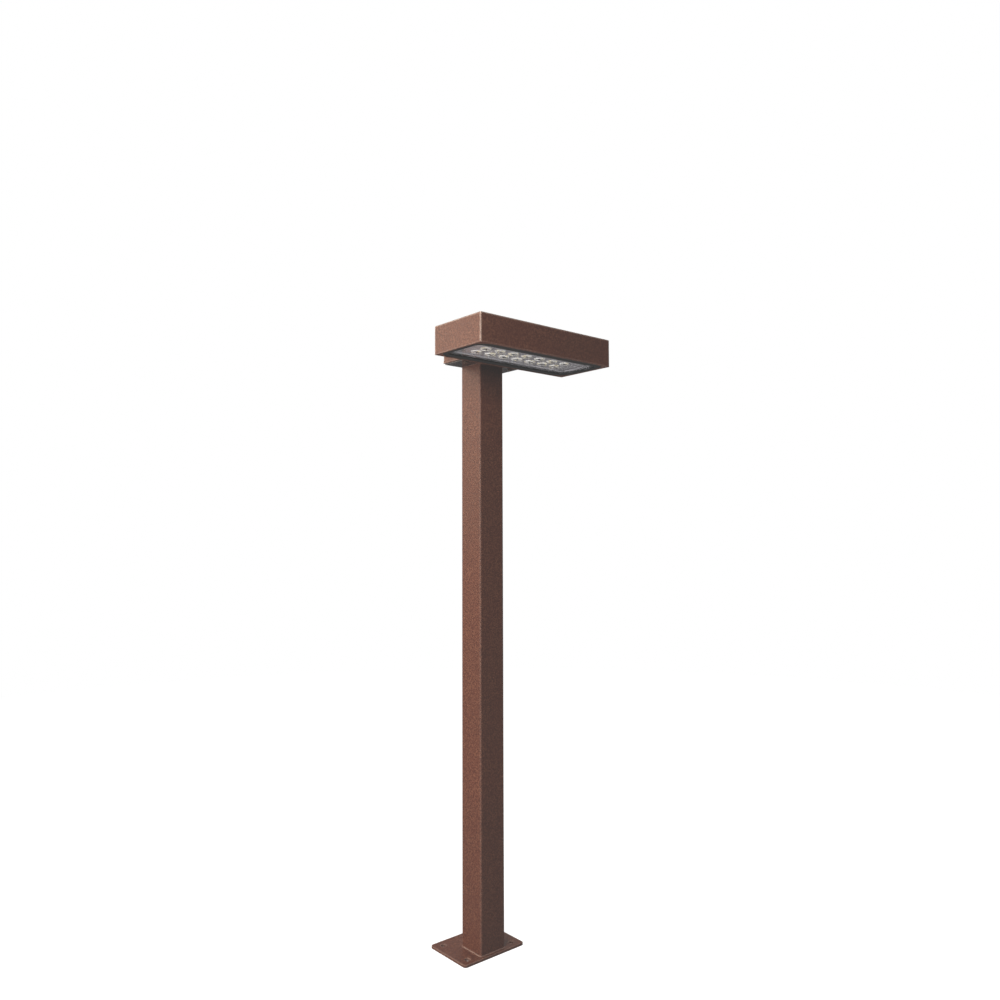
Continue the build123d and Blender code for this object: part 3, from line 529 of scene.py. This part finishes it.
BEAD_PITCH = 2.4 * MM           # from one ripple of a weld to the next
BEAD_STEP = 0.45 * MM           # from one ring of the mesh to the next on the straights
BEAD_CORNER_STEPS = 6
BEAD_ROUND = 7                  # points across a bead
BEAD_ROOT = 0.3 * MM            # how deep a bead's back edge sits in the post's wall
BEAD_RISE = 0.85                # a bead's height, for a width of 1
BEAD_BULGE = 1.25
BEAD_LEAST = 0.86               # the bead's width, as a share of the CAD fillet's leg, is at least this
BEAD_RIPPLE = 0.10              # plus up to this at a ripple's crest
BEAD_WANDER = 0.04              # plus or minus this as the hand wavers
WANDER_SCALE = Vector((160, 160, 10))
POST_CORNER = 2.5 * MM


def square_outline(half, radius):
    """(place, outward direction) pairs round a rounded square, starting at its back left corner."""
    stations = []
    straight = half - radius
    for quarter in range(4):
        turn = Matrix.Rotation(pi / 2 * quarter, 2)
        runs = max(2, round(2 * straight / BEAD_STEP))
        for i in range(runs):
            along = straight - 2 * straight * i / runs
            stations.append((turn @ Vector((-half, along)), turn @ Vector((-1, 0))))
        for i in range(BEAD_CORNER_STEPS):
            angle = pi / 2 * i / BEAD_CORNER_STEPS
            out = Vector((-cos(angle), -sin(angle)))
            stations.append((turn @ (Vector((-straight, -straight)) + out * radius), turn @ out))
    return stations


def bead_ring(at, out, size, foot_z, side):
    """One cross-section's points: the root, the curve from the plate to the post, and the root again."""
    root = at - out * BEAD_ROOT
    ring = [(root.x, root.y, foot_z)]
    for i in range(BEAD_ROUND):
        angle = pi / 2 * i / (BEAD_ROUND - 1)
        reach = size * cos(angle) ** BEAD_BULGE
        rise = size * BEAD_RISE * sin(angle) ** BEAD_BULGE
        ring.append((at.x + out.x * reach, at.y + out.y * reach, foot_z + side * rise))
    ring.append((root.x, root.y, foot_z + side * size * BEAD_RISE))
    return ring


def weld_bead(name, node, foot_z, side, open_back):
    """Rippled weld round the post. side is 1 where it stands on a plate, -1 where it hangs below one."""
    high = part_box(node)[1]
    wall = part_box("post")[1].x
    leg = high.x - wall
    stations = square_outline(wall, POST_CORNER)
    if open_back:
        stations = [(at, out) for at, out in stations if out.y < 0.5 and at.y < high.y - leg / 2]
        start = max(range(len(stations)), key=lambda i: (stations[i][0].x < 0, stations[i][0].y))
        stations = stations[start:] + stations[:start]
    shape = bmesh.new()
    rings = []
    travelled = 0.0
    for index, (at, out) in enumerate(stations):
        travelled += (at - stations[index - 1][0]).length if index else 0.0
        ripple = abs(sin(pi * travelled / BEAD_PITCH)) ** 0.6
        wander = noise.noise(Vector((at.x, at.y, foot_z)) * WANDER_SCALE)
        size = leg * (BEAD_LEAST + BEAD_RIPPLE * ripple + BEAD_WANDER * wander)
        rings.append([shape.verts.new(point) for point in bead_ring(at, out, size, foot_z, side)])
    pairs = list(zip(rings, rings[1:]))
    if open_back:
        shape.faces.new(rings[0])
        shape.faces.new(rings[-1])
    else:
        pairs.append((rings[-1], rings[0]))
    for first, second in pairs:
        for i in range(len(first)):
            j = (i + 1) % len(first)
            shape.faces.new((first[i], first[j], second[j], second[i]))
    new_piece(name, shape, materials["rust_coat"], "rust_coat", node)


def make_welds():
    weld_bead("foot_weld_bead", "base_weld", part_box("base_weld")[0].z, 1, False)
    weld_bead("top_weld_bead", "post_top_weld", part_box("post_top_weld")[1].z, -1, True)


LENS_PITCH = Vector((28.0, 24.0)) * MM
LENS_COLUMNS, LENS_ROWS = 7, 2
LENS_RADIUS = 9.0 * MM
LENS_DROP = 3.0 * MM            # lens tip below the plate that the lenses are moulded on
LENS_PLATE_CORNER = 4.0 * MM
RIM_HEIGHT = 2.2                # mm, the rim round each lens
RIM_OUTSIDE = (9.0, 8.7)        # mm, the radius of its outer slope's foot and top
RIM_INSIDE = (8.3, 8.0)         # mm, the radius of its inner slope's top and foot
MOAT_DEPTH = 1.5                # mm, from the rim's top to the moat inside it
LOBE_PLACE = 3.2                # mm, each lobe's centre from the lens's
LOBE_WIDTH = 3.9                # mm, half of it
LOBE_LENGTH = 6.4               # mm, half of it
HOLLOW_RADIUS = 4.1             # mm, the hollow over each chip
HOLLOW_DEPTH = 2.2              # mm
EDGE_SPLITS = 12                # mesh divisions along each side of a lens's cell
FACE_RINGS = 26                 # mesh rings from a lens's centre to its rim
HOLLOW_RINGS = 8
WELD_GAP = 0.02 * MM            # mesh points closer than this become one


def lens_centres(centre):
    return [
        Vector((
            centre.x + (column - (LENS_COLUMNS - 1) / 2) * LENS_PITCH.x,
            centre.y + (row - (LENS_ROWS - 1) / 2) * LENS_PITCH.y,
        ))
        for column in range(LENS_COLUMNS)
        for row in range(LENS_ROWS)
    ]


def smooth_step(value, start, end):
    t = min(1.0, max(0.0, (value - start) / (end - start)))
    return t * t * (3 - 2 * t)


def lens_face(x, y):
    """How far a wide-beam lens hangs below its plate: a rim, a moat, and two lobes with a waist."""
    radius = (x * x + y * y) ** 0.5 / MM
    rim = RIM_HEIGHT * smooth_step(radius, *RIM_OUTSIDE) - MOAT_DEPTH * smooth_step(radius, *RIM_INSIDE)
    lobes = 0.0
    for side in (-1, 1):
        reach = ((x / MM - side * LOBE_PLACE) / LOBE_WIDTH) ** 2 + (y / MM / LOBE_LENGTH) ** 2
        lobes += max(0.0, 1 - reach ** 1.5) ** 1.1
    lobe_height = LENS_DROP / MM - (RIM_HEIGHT - MOAT_DEPTH)
    return (rim + lobe_height * min(1.0, lobes) ** 0.45) * MM


def lens_hollow(x, y):
    """How deep the hollow over a chip is, from the plate's upper face."""
    radius = (x * x + y * y) ** 0.5 / MM
    return HOLLOW_DEPTH * MM * max(0.0, 1 - (radius / HOLLOW_RADIUS) ** 2) ** 0.5


def cell_outline(low, high, plate_low, plate_high):
    """Points round one lens's cell, pulled in to the arc where the cell has a corner of the plate."""
    corners = [low.xy, Vector((high.x, low.y)), high.xy, Vector((low.x, high.y))]
    pivot_low = plate_low.xy + Vector((LENS_PLATE_CORNER, LENS_PLATE_CORNER))
    pivot_high = plate_high.xy - Vector((LENS_PLATE_CORNER, LENS_PLATE_CORNER))
    outline = []
    for corner, following in zip(corners, corners[1:] + corners[:1]):
        for i in range(EDGE_SPLITS):
            at = corner.lerp(following, i / EDGE_SPLITS)
            pivot = Vector((
                min(max(at.x, pivot_low.x), pivot_high.x),
                min(max(at.y, pivot_low.y), pivot_high.y),
            ))
            arm = at - pivot
            if arm.length > LENS_PLATE_CORNER:
                at = pivot + arm.normalized() * LENS_PLATE_CORNER
            outline.append(at)
    return outline


def lens_sheet(shape, centre, outline, radii, height):
    """One face of one cell: rings round the lens's centre, then out to the cell's outline."""
    middle = shape.verts.new((centre.x, centre.y, height(0.0, 0.0)))
    rings = []
    for radius in radii:
        ring = []
        for at in outline:
            out = (at - centre).normalized() * radius
            ring.append(shape.verts.new((centre.x + out.x, centre.y + out.y, height(out.x, out.y))))
        rings.append(ring)
    flat = height(LENS_PITCH.x, LENS_PITCH.y)
    rings.append([shape.verts.new((at.x, at.y, flat)) for at in outline])
    count = len(outline)
    for i in range(count):
        shape.faces.new((middle, rings[0][i], rings[0][(i + 1) % count]))
        for first, second in zip(rings, rings[1:]):
            shape.faces.new((first[i], second[i], second[(i + 1) % count], first[(i + 1) % count]))


def make_lens_array():
    """The lenses as one moulding: free-form lobes below, a hollow over each chip above."""
    low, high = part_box("lens_array")
    plate_bottom = low.z + LENS_DROP
    face_radii = [LENS_RADIUS * ((i + 1) / FACE_RINGS) ** 0.85 for i in range(FACE_RINGS)]
    hollow_radii = [HOLLOW_RADIUS * MM * ((i + 1) / HOLLOW_RINGS) ** 0.6 for i in range(HOLLOW_RINGS)]
    half_pitch = LENS_PITCH / 2
    shape = bmesh.new()
    for centre in lens_centres((low + high) / 2):
        cell_low = Vector(map(max, low.xy, centre - half_pitch))
        cell_high = Vector(map(min, high.xy, centre + half_pitch))
        outline = cell_outline(cell_low, cell_high, low, high)
        lens_sheet(shape, centre, outline, face_radii, lambda x, y: plate_bottom - lens_face(x, y))
        lens_sheet(shape, centre, outline, hollow_radii, lambda x, y: high.z - lens_hollow(x, y))
    bmesh.ops.remove_doubles(shape, verts=shape.verts, dist=WELD_GAP)
    bmesh.ops.bridge_loops(shape, edges=[edge for edge in shape.edges if edge.is_boundary])
    new_piece("lens_moulding", shape, materials["clear_lens"], "clear_lens", "lens_array")


BASE_SIZE = 5.0 * MM
BASE_DEPTH = 0.5 * MM
BASE_BEVEL = 0.12 * MM
DOME_HALF = 2.0 * MM
DOME_SINK = 0.02 * MM           # how far a dome's foot reaches into its base
DOME_RINGS = 8
DOME_POINTS = 24


def led_base(shape, centre, top):
    verts = bmesh.ops.create_cube(shape, size=1.0)["verts"]
    bmesh.ops.scale(shape, verts=verts, vec=(BASE_SIZE, BASE_SIZE, BASE_DEPTH))
    bmesh.ops.translate(shape, verts=verts, vec=(centre.x, centre.y, top - BASE_DEPTH / 2))
    edges = {edge for vert in verts for edge in vert.link_edges}
    bmesh.ops.bevel(shape, geom=list(edges), offset=BASE_BEVEL, segments=2, affect="EDGES")


def led_dome(shape, centre, foot, tip):
    """Squarish rings that shrink from the foot down to one point at the tip."""
    rings = []
    for i in range(DOME_RINGS):
        angle = pi / 2 * i / DOME_RINGS
        size = DOME_HALF * cos(angle)
        level = foot - (foot - tip) * sin(angle)
        ring = []
        for j in range(DOME_POINTS):
            turn = 2 * pi * j / DOME_POINTS
            reach = size * (abs(cos(turn)) ** 4 + abs(sin(turn)) ** 4) ** -0.25
            ring.append(shape.verts.new((centre.x + reach * cos(turn), centre.y + reach * sin(turn), level)))
        rings.append(ring)
    point = shape.verts.new((centre.x, centre.y, tip))
    faces = [shape.faces.new(list(reversed(rings[0])))]
    for first, second in zip(rings, rings[1:]):
        for j in range(DOME_POINTS):
            k = (j + 1) % DOME_POINTS
            faces.append(shape.faces.new((first[j], first[k], second[k], second[j])))
    for j in range(DOME_POINTS):
        faces.append(shape.faces.new((rings[-1][j], rings[-1][(j + 1) % DOME_POINTS], point)))
    for face in faces:
        face.material_index = 1


def make_led_packages():
    """Each chip as a small ceramic base with a domed phosphor below it."""
    low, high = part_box("led_chips")
    shape = bmesh.new()
    for centre in lens_centres((low + high) / 2):
        led_base(shape, centre, high.z)
        led_dome(shape, centre, high.z - BASE_DEPTH + DOME_SINK, low.z)
    piece = new_piece("led_packages", shape, materials["ceramic"], "led_phosphor", "led_chips")
    piece.data.materials.append(materials["led_phosphor"])


# ======================= making =======================

make_camera()
make_lights()
make_world()
make_floor()
make_film()
materials = make_materials()
dress_frame(materials)
make_welds()
make_lens_array()
make_led_packages()
fill_sides()
